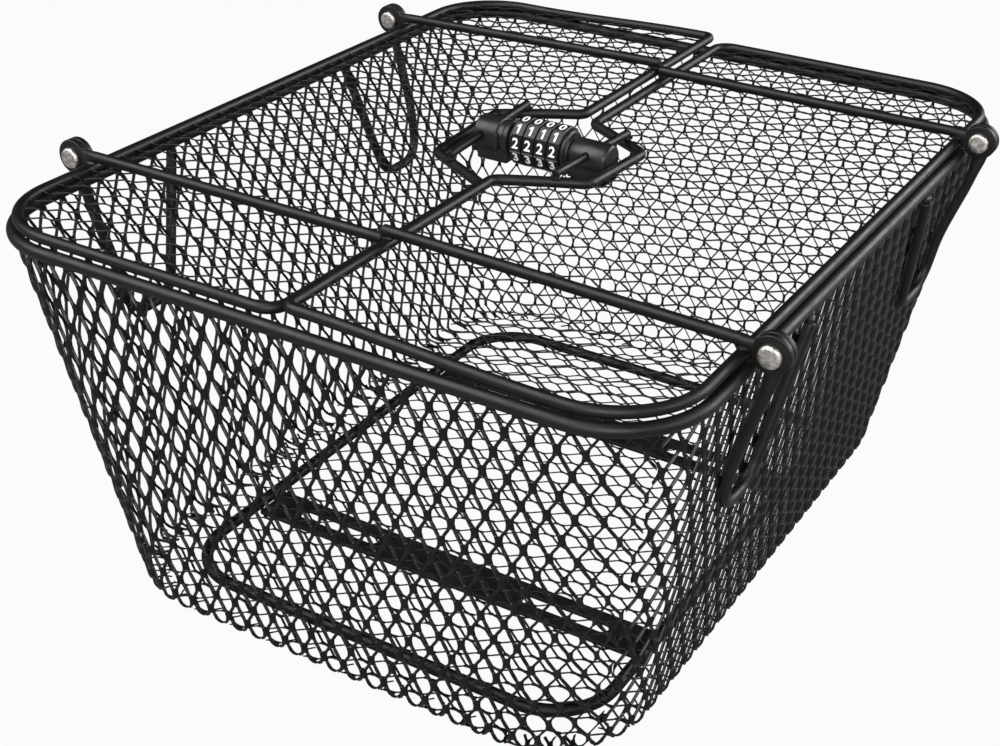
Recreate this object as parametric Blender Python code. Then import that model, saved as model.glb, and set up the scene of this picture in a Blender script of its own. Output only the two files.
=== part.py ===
"""Rear bicycle basket with two hinged lids and a combination lock. Lengths in metres."""
import math

import bmesh
import bpy
from mathutils import Vector
from mathutils.geometry import delaunay_2d_cdt

# Clearances
GAP = 0.0003
SEAM_GAP = 0.0006
CUT_OVERRUN = 0.001
WELD_STEP = 0.0000005

# Rim and walls, measured on wire centre lines and on the middle of the net
RIM_HALF_X = 0.164
RIM_HALF_Y = 0.2005
RIM_CORNER = 0.0407
RIM_WIRE = 0.006
FLOOR_HALF_X = 0.134
FLOOR_HALF_Y = 0.178
FLOOR_CORNER = 0.050
BASKET_DEPTH = 0.1817

# Base ring and mounting plates
BASE_WIRE = 0.006
BASE_HALF_X = 0.1127
BASE_HALF_Y = 0.1487
BASE_CORNER = 0.0324
PLATE_OFFSET_Y = 0.0800
PLATE_WIDTH = 0.022
PLATE_THICK = 0.002
PLATE_END_GAP = 0.0003
PLATE_SLOT_LENGTH = 0.048
PLATE_SLOT_WIDTH = 0.0068
PLATE_SLOT_INNER = 0.042

# Net
NET_THICK = 0.0012
NET_CELL_HALF_WIDTH = 0.0175
NET_CELL_HALF_HEIGHT = 0.0245
NET_HOLE_SHARE = 0.82
NET_MARGIN = 0.0025
NET_EDGE_SHARE = 0.9
NET_SLIVER_SHARE = 0.2

# Lids
LID_WIRE = 0.005
LID_HALF_X = 0.1615
LID_HALF_Y = 0.198
LID_CORNER = 0.0382
LID_RISE = 0.0001
LID_LIFT = 0.0039
LID_LIFTED_CORNER = 0.0045
LID_LOW_CORNER = 0.009
LIFT_END_SHARE = 0.75
BAY_HALF_X = 0.041
BAY_HALF_Y = 0.0265
BAY_MOUTH_HALF_Y = 0.048
BAY_CORNER = 0.006
LID_NET_CELL_HALF_WIDTH = 0.0123
LID_NET_CELL_HALF_HEIGHT = 0.0175
LID_NET_HOLE_SHARE = 0.86
BAR_WIRE = 0.005
BAR_INNER_X = 0.0003

# Hinges
HINGE_X = 0.173
HINGE_Y = 0.1275
HINGE_ABOVE_LID = 0.0026
EYE_RADIUS = 0.0082
EYE_THICK = 0.003
EYE_NECK = 0.002
RIVET_SHANK = 0.005
RIVET_HEAD = 0.0098
RIVET_HEAD_THICK = 0.0026
RIVET_TAIL = 0.0078
RIVET_TAIL_THICK = 0.0016

# Side loops
LOOP_WIRE = 0.005
LOOP_ROOT_DROP = 0.0098
LOOP_SHOULDER_DROP = 0.027
LOOP_LEG_SHIFT = 0.0045
LOOP_DEPTH = 0.083
LOOP_BOTTOM_RADIUS = 0.015
LOOP_INNER_Y = 0.072

# Lock
LOCK_BAR_WIRE = 0.004
LOCK_BAR_X = 0.028
LOCK_ABOVE_LID = 0.0045
DIAL_COUNT = 4
DIAL_FACES = 10
DIAL_RADIUS = 0.011
DIAL_WIDTH = 0.0061
DIAL_STACK_X = 0.0025
DIAL_BORE_GAP = 0.0003
CORE_RADIUS = 0.0062
LOCK_COLLAR_RADIUS = 0.0095
LOCK_COLLAR_LENGTH = 0.003
LOCK_SHOULDER_RADIUS = 0.0108
LOCK_SHOULDER_LENGTH = 0.0045
LOCK_BARREL_RADIUS = 0.0092
LOCK_END_X = 0.0368
LOCK_BLOCK_LENGTH = 0.0125
LOCK_BLOCK_HALF_WIDTH = 0.0065
LOCK_BLOCK_DROP = 0.0125
HEAD_NECK_RADIUS = 0.0085
HEAD_NECK_LENGTH = 0.003
HEAD_RADIUS = 0.011
HEAD_END_X = 0.0368
HEAD_BEVEL = 0.0015
PIN_RADIUS = 0.0023
PIN_LENGTH = 0.022
PIN_BORE_GAP = 0.0003
PIN_BORE_SPARE = 0.002
PIN_TRAVEL = 0.010

# Mesh fineness
WIRE_SIDES = 8
ROUND_SIDES = 20
SMALL_ROUND_SIDES = 12
CORNER_STEPS = 6
SMALL_CORNER_STEPS = 3
NET_EDGE_STEPS = 4
SMOOTH_ANGLE = math.radians(40.0)

# Heights, stacked up from the underside of the base ring
BASE_Z = BASE_WIRE / 2
PLATE_SLOT_X = PLATE_SLOT_INNER + PLATE_SLOT_LENGTH / 2
FLOOR_Z = BASE_WIRE + GAP + NET_THICK / 2
RIM_Z = FLOOR_Z + BASKET_DEPTH
WALL_TOP_Z = RIM_Z - RIM_WIRE / 2 - GAP
LID_Z = RIM_Z + RIM_WIRE / 2 + LID_WIRE / 2 + GAP + LID_RISE
HINGE_Z = LID_Z + HINGE_ABOVE_LID
LOCK_Z = LID_Z + LOCK_ABOVE_LID
SEAM_X = LID_WIRE / 2 + BAR_INNER_X
DIAL_PITCH = DIAL_WIDTH + GAP
DIALS_LEFT = DIAL_STACK_X - DIAL_COUNT * DIAL_PITCH / 2
DIALS_RIGHT = DIAL_STACK_X + DIAL_COUNT * DIAL_PITCH / 2
CORE_LEFT = DIALS_LEFT - LOCK_COLLAR_LENGTH

POWDER_COAT = ("black_powder_coat", (0.018, 0.018, 0.019), 0.42, 0.0)
WIRE_COAT = ("black_wire_coat", (0.022, 0.022, 0.023), 0.34, 0.0)
STEEL = ("bright_steel", (0.62, 0.60, 0.58), 0.22, 1.0)
LOCK_BLACK = ("lock_black_plastic", (0.020, 0.020, 0.021), 0.38, 0.0)
DIAL_BLACK = ("dial_black_plastic", (0.016, 0.016, 0.016), 0.45, 0.0)


def clear_scene():
    for item in list(bpy.data.objects):
        bpy.data.objects.remove(item, do_unlink=True)


def make_material(spec, tag):
    name, colour, roughness, metallic = spec
    material = bpy.data.materials.new(name + "_" + tag)
    material.use_nodes = True
    shader = material.node_tree.nodes["Principled BSDF"]
    shader.inputs["Base Color"].default_value = (*colour, 1.0)
    shader.inputs["Roughness"].default_value = roughness
    shader.inputs["Metallic"].default_value = metallic
    return material


def add_axis(name, place, carrier=None):
    axis = bpy.data.objects.new(name, None)
    axis.location = place
    if carrier is not None:
        axis.parent = carrier
        axis.location = place - carrier.location
    bpy.context.scene.collection.objects.link(axis)
    return axis


def place_of(axis):
    """Where an axis stands in the part's own frame."""
    place = axis.location.copy()
    if axis.parent is not None:
        place += axis.parent.location
    return place


def add_piece(name, body, spec, axis=None, smooth=True):
    origin = Vector((0, 0, 0)) if axis is None else place_of(axis)
    bmesh.ops.translate(body, verts=body.verts, vec=-origin)
    bmesh.ops.recalc_face_normals(body, faces=body.faces)
    mesh = bpy.data.meshes.new(name)
    body.to_mesh(mesh)
    body.free()
    mesh.materials.append(make_material(spec, name))
    if smooth:
        mesh.shade_smooth()
        mesh.set_sharp_from_angle(angle=SMOOTH_ANGLE)
    piece = bpy.data.objects.new(name, mesh)
    if axis is not None:
        piece.parent = axis
    bpy.context.scene.collection.objects.link(piece)
    return piece


def boolean(base, tool, operation):
    mesh_a = bpy.data.meshes.new("base")
    mesh_b = bpy.data.meshes.new("tool")
    for body, mesh in ((base, mesh_a), (tool, mesh_b)):
        bmesh.ops.recalc_face_normals(body, faces=body.faces)
        body.to_mesh(mesh)
        body.free()
    part_a = bpy.data.objects.new("base", mesh_a)
    part_b = bpy.data.objects.new("tool", mesh_b)
    bpy.context.scene.collection.objects.link(part_a)
    bpy.context.scene.collection.objects.link(part_b)
    modifier = part_a.modifiers.new("cut", "BOOLEAN")
    modifier.operation = operation
    modifier.solver = "EXACT"
    modifier.object = part_b
    bpy.context.view_layer.update()
    graph = bpy.context.evaluated_depsgraph_get()
    result = bpy.data.meshes.new_from_object(part_a.evaluated_get(graph))
    body = bmesh.new()
    body.from_mesh(result)
    bpy.data.objects.remove(part_a, do_unlink=True)
    bpy.data.objects.remove(part_b, do_unlink=True)
    for mesh in (mesh_a, mesh_b, result):
        bpy.data.meshes.remove(mesh)
    bmesh.ops.remove_doubles(body, verts=body.verts, dist=WELD_STEP)
    return body


def union(base, tool):
    return boolean(base, tool, "UNION")


def cut(base, tool):
    return boolean(base, tool, "DIFFERENCE")


def rounded_path(corners, radii, steps, closed=True):
    """Corner points in order, each replaced by an arc of its own radius."""
    points = []
    count = len(corners)
    for index, corner in enumerate(corners):
        corner = Vector(corner)
        is_end = not closed and index in (0, count - 1)
        if is_end or radii[index] <= 0:
            points.append(corner)
            continue
        before = (Vector(corners[index - 1]) - corner).normalized()
        after = (Vector(corners[(index + 1) % count]) - corner).normalized()
        half = before.angle(after) / 2
        reach = radii[index] / math.tan(half)
        centre = corner + (before + after).normalized() * (radii[index] / math.sin(half))
        start = corner + before * reach - centre
        end = corner + after * reach - centre
        sweep = start.angle(end)
        for step in range(steps[index] + 1):
            part = step / steps[index]
            point = start * math.sin((1 - part) * sweep) + end * math.sin(part * sweep)
            points.append(centre + point / math.sin(sweep))
    return points


def rounded_rectangle(half_x, half_y, radius, steps):
    """Points of a rounded rectangle, from the front right corner, anticlockwise."""
    points = []
    for quarter in range(4):
        side_x = 1 if quarter in (0, 1) else -1
        side_y = 1 if quarter in (1, 2) else -1
        start = math.pi / 2 * (quarter - 1)
        for step in range(steps + 1):
            angle = start + math.pi / 2 * step / steps
            x = side_x * (half_x - radius) + radius * math.cos(angle)
            y = side_y * (half_y - radius) + radius * math.sin(angle)
            points.append((x, y))
    return points


def tube(points, diameter, up, closed, sides=WIRE_SIDES):
    """A round wire along points; up never runs along the wire."""
    body = bmesh.new()
    rings = []
    count = len(points)
    for index, point in enumerate(points):
        point = Vector(point)
        before = Vector(points[index - 1]) if closed or index > 0 else point
        after = Vector(points[(index + 1) % count]) if closed or index < count - 1 else point
        run_in = (point - before).normalized() if (point - before).length > 0 else Vector()
        run_out = (after - point).normalized() if (after - point).length > 0 else Vector()
        along = (run_in + run_out).normalized()
        across = up.cross(along).normalized()
        over = along.cross(across)
        bend = run_in.angle(run_out) if run_in.length and run_out.length else 0.0
        widen = 1 / math.cos(bend / 2)
        turn = run_out - run_in
        wide = turn.normalized() if turn.length > WELD_STEP else None
        ring = []
        for side in range(sides):
            angle = 2 * math.pi * (side + 0.5) / sides
            spoke = across * math.cos(angle) + over * math.sin(angle)
            if wide is not None:
                spoke = spoke + wide * (spoke.dot(wide) * (widen - 1))
            ring.append(body.verts.new(point + spoke * (diameter / 2)))
        rings.append(ring)
    spans = count if closed else count - 1
    for index in range(spans):
        first = rings[index]
        second = rings[(index + 1) % count]
        for side in range(sides):
            after = (side + 1) % sides
            body.faces.new((first[side], first[after], second[after], second[side]))
    if not closed:
        body.faces.new(rings[0])
        body.faces.new(rings[-1])
    return body


def lathe(profile, axis, sides, centre=Vector((0, 0, 0)), turn=0.0):
    """Turn (along, radius) points round axis X or Y through centre."""
    body = bmesh.new()
    rings = []
    for along, radius in profile:
        ring = []
        steps = 1 if radius == 0 else sides
        for side in range(steps):
            angle = turn + 2 * math.pi * side / sides
            a = radius * math.cos(angle)
            b = radius * math.sin(angle)
            spot = Vector((along, a, b)) if axis == "X" else Vector((a, along, b))
            ring.append(body.verts.new(centre + spot))
        rings.append(ring)
    closed = profile[0][1] > 0
    spans = len(rings) if closed else len(rings) - 1
    for index in range(spans):
        first = rings[index]
        second = rings[(index + 1) % len(rings)]
        for side in range(sides):
            after = (side + 1) % sides
            if len(first) == 1:
                body.faces.new((first[0], second[side], second[after]))
            elif len(second) == 1:
                body.faces.new((first[side], first[after], second[0]))
            else:
                body.faces.new((first[side], first[after], second[after], second[side]))
    return body


def prism(outline, low, high, axis):
    """Push a flat outline from low to high along axis Y or Z."""
    body = bmesh.new()
    rings = []
    for level in (low, high):
        if axis == "Y":
            rings.append([body.verts.new((a, level, b)) for a, b in outline])
        else:
            rings.append([body.verts.new((a, b, level)) for a, b in outline])
    count = len(outline)
    for index in range(count):
        after = (index + 1) % count
        body.faces.new((rings[0][index], rings[0][after], rings[1][after], rings[1][index]))
    body.faces.new(rings[0])
    body.faces.new(rings[1])
    return body


def box(low, high):
    outline = [(low.x, low.y), (high.x, low.y), (high.x, high.y), (low.x, high.y)]
    return prism(outline, low.z, high.z, "Z")


def circle(centre, radius, sides):
    points = []
    for side in range(sides):
        angle = 2 * math.pi * side / sides
        points.append((centre[0] + radius * math.cos(angle), centre[1] + radius * math.sin(angle)))
    return points


def is_inside(outline, spot):
    result = False
    for index, point in enumerate(outline):
        before = outline[index - 1]
        if (point[1] > spot[1]) != (before[1] > spot[1]):
            part = (spot[1] - point[1]) / (before[1] - point[1])
            if spot[0] < point[0] + part * (before[0] - point[0]):
                result = not result
    return result


def net_reach(outline):
    """Lowest and highest place of a net's holes, on each axis."""
    lows = [min(point[axis] for point in outline) + NET_MARGIN for axis in (0, 1)]
    highs = [max(point[axis] for point in outline) - NET_MARGIN for axis in (0, 1)]
    return lows, highs


def fitted_cell(outline, wished):
    """Half width and half height of a net cell that divides the outline evenly."""
    sizes = []
    for low, high, size in zip(*net_reach(outline), wished):
        reach = (high - low) / 2
        sizes.append(reach / max(1, round(reach / size)))
    return sizes


def clipped(polygon, axis, limit, side):
    """The part of a convex polygon that lies on one side of a limit along an axis."""
    result = []
    for index, point in enumerate(polygon):
        before = polygon[index - 1]
        room = side * (limit - point[axis])
        room_before = side * (limit - before[axis])
        if min(room, room_before) < -WELD_STEP and max(room, room_before) > WELD_STEP:
            part = room_before / (room_before - room)
            result.append(tuple(a + (b - a) * part for a, b in zip(before, point)))
        if room >= -WELD_STEP:
            result.append(point)
    return result


def has_margin(outline, polygon):
    """Whether a polygon keeps nearly the net's margin to an outline, all the way round."""
    reach = NET_MARGIN * NET_EDGE_SHARE
    for index, point in enumerate(polygon):
        before = polygon[index - 1]
        for step in range(NET_EDGE_STEPS):
            x, y = (a + (b - a) * step / NET_EDGE_STEPS for a, b in zip(before, point))
            around = ((x + reach, y), (x, y + reach), (x - reach, y), (x, y - reach))
            if not all(is_inside(outline, spot) for spot in around):
                return False
    return True


def polygon_area(polygon):
    pairs = zip(polygon, polygon[1:] + polygon[:1])
    return abs(sum(a[0] * b[1] - b[0] * a[1] for a, b in pairs)) / 2


def net_holes(outline, half_cell, hole_share):
    """Diamond holes in staggered rows, cut off straight where they meet a net's edge.

    A hole that comes too near to a curved edge, or of which little is left, is left out.
    """
    half_width, half_height = half_cell
    lows, highs = net_reach(outline)
    centre_x, centre_y = ((low + high) / 2 for low, high in zip(lows, highs))
    columns = int((highs[0] - lows[0]) / half_width / 4) + 2
    rows = int((highs[1] - lows[1]) / half_height / 2) + 2
    arm_x = half_width * hole_share
    arm_y = half_height * hole_share
    holes = []
    for row in range(-rows, rows + 1):
        for column in range(-columns, columns + 1):
            x = centre_x + (2 * column + row % 2) * half_width
            y = centre_y + row * half_height
            hole = [(x + arm_x, y), (x, y + arm_y), (x - arm_x, y), (x, y - arm_y)]
            whole = polygon_area(hole)
            for axis in (0, 1):
                hole = clipped(hole, axis, highs[axis], 1)
                hole = clipped(hole, axis, lows[axis], -1)
            if polygon_area(hole) > whole * NET_SLIVER_SHARE and has_margin(outline, hole):
                holes.append(hole)
    return holes


def net(outline, place, half_cell=None, hole_share=NET_HOLE_SHARE):
    """A sheet with diamond holes; place(u, v, offset) gives its point in space."""
    if half_cell is None:
        half_cell = fitted_cell(outline, (NET_CELL_HALF_WIDTH, NET_CELL_HALF_HEIGHT))
    holes = net_holes(outline, half_cell, hole_share)
    spots = []
    edges = []
    for loop in [outline] + holes:
        first = len(spots)
        spots += [Vector(point) for point in loop]
        edges += [(first + step, first + (step + 1) % len(loop)) for step in range(len(loop))]
    flat, _, faces, _, _, _ = delaunay_2d_cdt(spots, edges, [], 0, WELD_STEP)
    kept = []
    for face in faces:
        middle = (flat[face[0]] + flat[face[1]] + flat[face[2]]) / 3
        if is_inside(outline, middle) and not any(is_inside(hole, middle) for hole in holes):
            kept.append(face)
    body = bmesh.new()
    sheets = []
    for offset in (-NET_THICK / 2, NET_THICK / 2):
        sheets.append([body.verts.new(place(spot.x, spot.y, offset)) for spot in flat])
    uses = {}
    for face in kept:
        body.faces.new([sheets[1][corner] for corner in face])
        body.faces.new([sheets[0][corner] for corner in reversed(face)])
        for step in range(3):
            pair = (face[step], face[(step + 1) % 3])
            uses[pair] = True
    for first, second in uses:
        if (second, first) not in uses:
            body.faces.new((sheets[0][first], sheets[0][second], sheets[1][second], sheets[1][first]))
    loose = [vert for vert in body.verts if not vert.link_faces]
    bmesh.ops.delete(body, geom=loose, context="VERTS")
    return body


def wall_share(height):
    return (height - FLOOR_Z) / (RIM_Z - FLOOR_Z)


def wall_section(height):
    """Half width, half length and corner radius of the wall at a height."""
    share = wall_share(height)
    half_x = FLOOR_HALF_X + (RIM_HALF_X - FLOOR_HALF_X) * share
    half_y = FLOOR_HALF_Y + (RIM_HALF_Y - FLOOR_HALF_Y) * share
    radius = FLOOR_CORNER + (RIM_CORNER - FLOOR_CORNER) * share
    return half_x, half_y, radius


def flat_half_width(height, axis):
    """Half the flat stretch of a wall at a height, up to the seam with the rounded corner."""
    section = wall_section(height)
    return section[axis] - section[2] - GAP / 2


def make_walls():
    wall_low = FLOOR_Z - NET_THICK / 2
    height = WALL_TOP_Z - wall_low
    middle = wall_low + height / 2
    for name, axis, sign in (("front", 0, -1), ("back", 0, 1), ("left", 1, -1), ("right", 1, 1)):
        mean_width = flat_half_width(middle, axis)
        outline = [(-mean_width, -height / 2), (mean_width, -height / 2),
                   (mean_width, height / 2), (-mean_width, height / 2)]

        def place(u, v, offset, axis=axis, sign=sign, mean_width=mean_width):
            along = u * flat_half_width(middle + v, axis) / mean_width
            reach = wall_section(middle + v)[1 - axis] + offset
            if axis == 0:
                return Vector((along, sign * reach, middle + v))
            return Vector((sign * reach, along, middle + v))

        add_piece("wall_net_" + name, net(outline, place), POWDER_COAT, smooth=False)


def make_wall_corners():
    wall_low = FLOOR_Z - NET_THICK / 2
    height = WALL_TOP_Z - wall_low
    middle = wall_low + height / 2
    mean_radius = wall_section(middle)[2]
    half_arc = math.pi / 4
    reach = half_arc * mean_radius
    outline = []
    for step in range(2 * CORNER_STEPS + 1):
        outline.append((reach * (step / CORNER_STEPS - 1), -height / 2))
    for step in range(2 * CORNER_STEPS + 1):
        outline.append((reach * (1 - step / CORNER_STEPS), height / 2))
    for name, side_x, side_y in (("front_left", -1, -1), ("front_right", 1, -1),
                                 ("back_left", -1, 1), ("back_right", 1, 1)):

        def place(u, v, offset, side_x=side_x, side_y=side_y):
            half_x, half_y, radius = wall_section(middle + v)
            trim = GAP / 2 / radius
            angle = half_arc + u / reach * (half_arc - trim)
            x = half_x - radius + (radius + offset) * math.cos(angle)
            y = half_y - radius + (radius + offset) * math.sin(angle)
            return Vector((side_x * x, side_y * y, middle + v))

        add_piece("wall_net_" + name, net(outline, place), POWDER_COAT, smooth=False)


def make_floor():
    shrink = NET_THICK + GAP
    outline = rounded_rectangle(FLOOR_HALF_X - shrink, FLOOR_HALF_Y - shrink,
                                FLOOR_CORNER - shrink, CORNER_STEPS)
    # A hole of the net stands over each slot of the mounting plates, so a bolt can pass.
    half_cell = (PLATE_SLOT_X / 4, PLATE_OFFSET_Y / 4)
    body = net(outline, lambda u, v, offset: Vector((u, v, FLOOR_Z + offset)), half_cell)
    add_piece("floor_net", body, POWDER_COAT, smooth=False)


def make_rings():
    up = Vector((0, 0, 1))
    rim = rounded_rectangle(RIM_HALF_X, RIM_HALF_Y, RIM_CORNER, CORNER_STEPS)
    body = tube([(x, y, RIM_Z) for x, y in rim], RIM_WIRE, up, True)
    add_piece("rim_wire", body, WIRE_COAT)
    base = rounded_rectangle(BASE_HALF_X, BASE_HALF_Y, BASE_CORNER, CORNER_STEPS)
    body = tube([(x, y, BASE_Z) for x, y in base], BASE_WIRE, up, True)
    add_piece("base_ring", body, WIRE_COAT)


def slot_outline(centre_x, centre_y, length, width):
    points = []
    for side in (1, -1):
        for step in range(SMALL_CORNER_STEPS * 2 + 1):
            angle = -math.pi / 2 + math.pi * step / (SMALL_CORNER_STEPS * 2)
            x = (length - width) / 2 + width / 2 * math.cos(angle)
            y = width / 2 * math.sin(angle)
            points.append((centre_x + side * x, centre_y + side * y))
    return points


def make_plates():
    half_length = BASE_HALF_X - BASE_WIRE / 2 - PLATE_END_GAP
    for name, sign in (("front", -1), ("back", 1)):
        centre_y = sign * PLATE_OFFSET_Y
        body = box(Vector((-half_length, centre_y - PLATE_WIDTH / 2, 0)),
                   Vector((half_length, centre_y + PLATE_WIDTH / 2, PLATE_THICK)))
        for side in (-1, 1):
            outline = slot_outline(side * PLATE_SLOT_X, centre_y, PLATE_SLOT_LENGTH,
                                   PLATE_SLOT_WIDTH)
            body = cut(body, prism(outline, -CUT_OVERRUN, PLATE_THICK + CUT_OVERRUN, "Z"))
        add_piece("mounting_plate_" + name, body, POWDER_COAT, smooth=False)


def lid_height(x, y, side):
    """Height of the lid wire's centre: one half of each lid rides over the other lid."""
    ramp = (side * y + BAY_HALF_Y) / (2 * BAY_HALF_Y)
    raised = 1 - min(1.0, max(0.0, ramp))
    reach = (side * x - SEAM_X) / ((LID_HALF_X - SEAM_X) * LIFT_END_SHARE)
    reach = min(1.0, max(0.0, reach))
    fall = 1 - reach * reach * (3 - 2 * reach)
    return LID_Z + LID_LIFT * raised * fall


def lid_outline(inset, side, steps):
    """Plan of a lid's wire, moved inward by inset; side is 1 right and -1 left."""
    slant = math.atan2(BAY_HALF_X - SEAM_X, BAY_MOUTH_HALF_Y - BAY_HALF_Y)
    mouth = inset * math.tan(slant / 2)
    knee = inset * math.tan(slant / 2)
    near = SEAM_X + inset
    far = LID_HALF_X - inset
    end = LID_HALF_Y - inset
    corners = [(near, -end), (far, -end), (far, end), (near, end),
               (near, BAY_MOUTH_HALF_Y + mouth), (BAY_HALF_X + inset, BAY_HALF_Y + knee),
               (BAY_HALF_X + inset, -BAY_HALF_Y - knee), (near, -BAY_MOUTH_HALF_Y - mouth)]
    radii = [LID_LIFTED_CORNER - inset, LID_CORNER - inset, LID_CORNER - inset,
             LID_LOW_CORNER - inset, BAY_CORNER - inset, BAY_CORNER + inset,
             BAY_CORNER + inset, BAY_CORNER - inset]
    radii = [max(radius, GAP) for radius in radii]
    counts = [steps // 2, steps, steps, steps // 2] + [steps // 3] * 4
    path = rounded_path([(x, y, 0) for x, y in corners], radii, counts)
    return [(side * point.x, side * point.y) for point in path]


def split_long(points, longest):
    result = []
    for index, point in enumerate(points):
        after = points[(index + 1) % len(points)]
        span = math.dist(point, after)
        pieces = max(1, math.ceil(span / longest))
        for piece in range(pieces):
            part = piece / pieces
            x = point[0] + (after[0] - point[0]) * part
            y = point[1] + (after[1] - point[1]) * part
            result.append((x, y))
    return result


def lid_name(side):
    return "right" if side > 0 else "left"


def make_lid_frame(side, axis):
    outline = lid_outline(0.0, side, CORNER_STEPS)
    outline = split_long(outline, LID_HALF_X / 3)
    points = [(x, y, lid_height(x, y, side)) for x, y in outline]
    body = tube(points, LID_WIRE, Vector((0, 0, 1)), True)
    add_piece(lid_name(side) + "_lid_frame", body, WIRE_COAT, axis)


def make_lid_net(side, axis):
    outline = lid_outline(LID_WIRE / 2 + GAP, side, CORNER_STEPS)
    outline = split_long(outline, LID_HALF_X / 3)
    half_cell = fitted_cell(outline, (LID_NET_CELL_HALF_WIDTH, LID_NET_CELL_HALF_HEIGHT))

    def place(u, v, offset):
        return Vector((u, v, lid_height(u, v, side) + offset))

    body = net(outline, place, half_cell, LID_NET_HOLE_SHARE)
    add_piece(lid_name(side) + "_lid_net", body, POWDER_COAT, axis, smooth=False)


def eye_plate(centre, low_y):
    """A flat eye round a hinge axis, not yet bored for the rivet."""
    return prism(circle(centre, EYE_RADIUS, ROUND_SIDES), low_y, low_y + EYE_THICK, "Y")


def bore_eye(body, centre, low_y):
    bore = RIVET_SHANK / 2 + GAP
    profile = [(low_y - CUT_OVERRUN, 0), (low_y - CUT_OVERRUN, bore),
               (low_y + EYE_THICK + CUT_OVERRUN, bore), (low_y + EYE_THICK + CUT_OVERRUN, 0)]
    spot = Vector((centre[0], 0, centre[1]))
    return cut(body, lathe(profile, "Y", SMALL_ROUND_SIDES, spot))


def make_lid_bar(side, end, axis):
    """A bar across the lid with its hinge eye; end is -1 front and 1 back."""
    eye_low = end * HINGE_Y - GAP / 2 - EYE_THICK
    bar_y = eye_low + EYE_THICK / 2
    rest = LID_WIRE / 2 + BAR_WIRE / 2 + GAP
    outer_z = lid_height(side * LID_HALF_X, bar_y, side) + rest
    inner_z = lid_height(side * SEAM_X, bar_y, side) + rest
    slope = (outer_z - inner_z) / (LID_HALF_X - SEAM_X)
    tip_x = HINGE_X - EYE_RADIUS - GAP - BAR_WIRE / 10
    start = Vector((side * BAR_INNER_X, bar_y, inner_z + slope * (BAR_INNER_X - SEAM_X)))
    stop = Vector((side * tip_x, bar_y, inner_z + slope * (tip_x - SEAM_X)))
    body = tube([start, stop], BAR_WIRE, Vector((0, 0, 1)), False)
    half = BAR_WIRE * 2 / 5
    tongue = []
    for x, offset in ((tip_x - EYE_NECK, -half), (HINGE_X - EYE_RADIUS / 2, -half),
                      (HINGE_X - EYE_RADIUS / 2, half), (tip_x - EYE_NECK, half)):
        tongue.append((side * x, inner_z + slope * (x - SEAM_X) + offset))
    centre = (side * HINGE_X, HINGE_Z)
    body = union(body, prism(tongue, eye_low, eye_low + EYE_THICK, "Y"))
    body = union(body, eye_plate(centre, eye_low))
    body = bore_eye(body, centre, eye_low)
    place = "front" if end < 0 else "back"
    add_piece(lid_name(side) + "_lid_bar_" + place, body, WIRE_COAT, axis)


def loop_wall_x(height):
    """Where a loop's wire lies against the outside of a side wall."""
    return wall_section(height)[0] + NET_THICK / 2 + GAP + LOOP_WIRE / 2


def loop_leg_x(height):
    """The outer leg swings out from the wall to come under the hinge axis."""
    root_z = HINGE_Z - LOOP_ROOT_DROP
    shoulder_z = HINGE_Z - LOOP_SHOULDER_DROP
    rise = min(1.0, max(0.0, (height - shoulder_z) / (root_z - shoulder_z)))
    swing = HINGE_X - loop_wall_x(root_z)
    return loop_wall_x(height) + swing * rise * rise * (3 - 2 * rise)


def make_side_loop(side, end):
    eye_low = end * HINGE_Y + GAP / 2
    leg_y = eye_low + EYE_THICK / 2
    shoulder_z = HINGE_Z - LOOP_SHOULDER_DROP
    bottom_z = HINGE_Z - LOOP_DEPTH + LOOP_WIRE / 2
    tip_z = RIM_Z - RIM_WIRE / 2 - LOOP_WIRE / 2 - GAP
    inward = -end
    shoulder_y = leg_y
    turn_y = leg_y + inward * LOOP_LEG_SHIFT
    low_y = end * (HINGE_Y - LOOP_LEG_SHIFT - 2 * LOOP_BOTTOM_RADIUS)
    tip_y = end * LOOP_INNER_Y
    flat = [(shoulder_y, shoulder_z), (turn_y, bottom_z), (low_y, bottom_z), (tip_y, tip_z)]
    radius = LOOP_BOTTOM_RADIUS * 9 / 10
    path = rounded_path([(y, z, 0) for y, z in flat], [0, radius, radius, 0],
                        [1, CORNER_STEPS, CORNER_STEPS, 1], closed=False)
    steps = [(point.x, point.y) for point in path]
    root_z = HINGE_Z - LOOP_ROOT_DROP
    points = []
    for step in range(SMALL_CORNER_STEPS + 1):
        z = root_z + (shoulder_z - root_z) * step / (SMALL_CORNER_STEPS + 1)
        points.append(Vector((side * loop_leg_x(z), leg_y, z)))
    for y, z in steps:
        points.append(Vector((side * loop_wall_x(z), y, z)))
    body = tube(points, LOOP_WIRE, Vector((side, 0, 0)), False)
    centre = (side * HINGE_X, HINGE_Z)
    half = LOOP_WIRE * 2 / 5
    low_z = root_z - EYE_NECK
    tongue = []
    for x, z in ((-half, low_z), (half, low_z), (half, HINGE_Z - EYE_RADIUS / 2),
                 (-half, HINGE_Z - EYE_RADIUS / 2)):
        tongue.append((side * (loop_leg_x(z) + x), z))
    body = union(body, prism(tongue, eye_low, eye_low + EYE_THICK, "Y"))
    body = union(body, eye_plate(centre, eye_low))
    body = bore_eye(body, centre, eye_low)
    place = ("front" if end < 0 else "back") + "_" + lid_name(side)
    add_piece("side_loop_" + place, body, WIRE_COAT)


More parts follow.
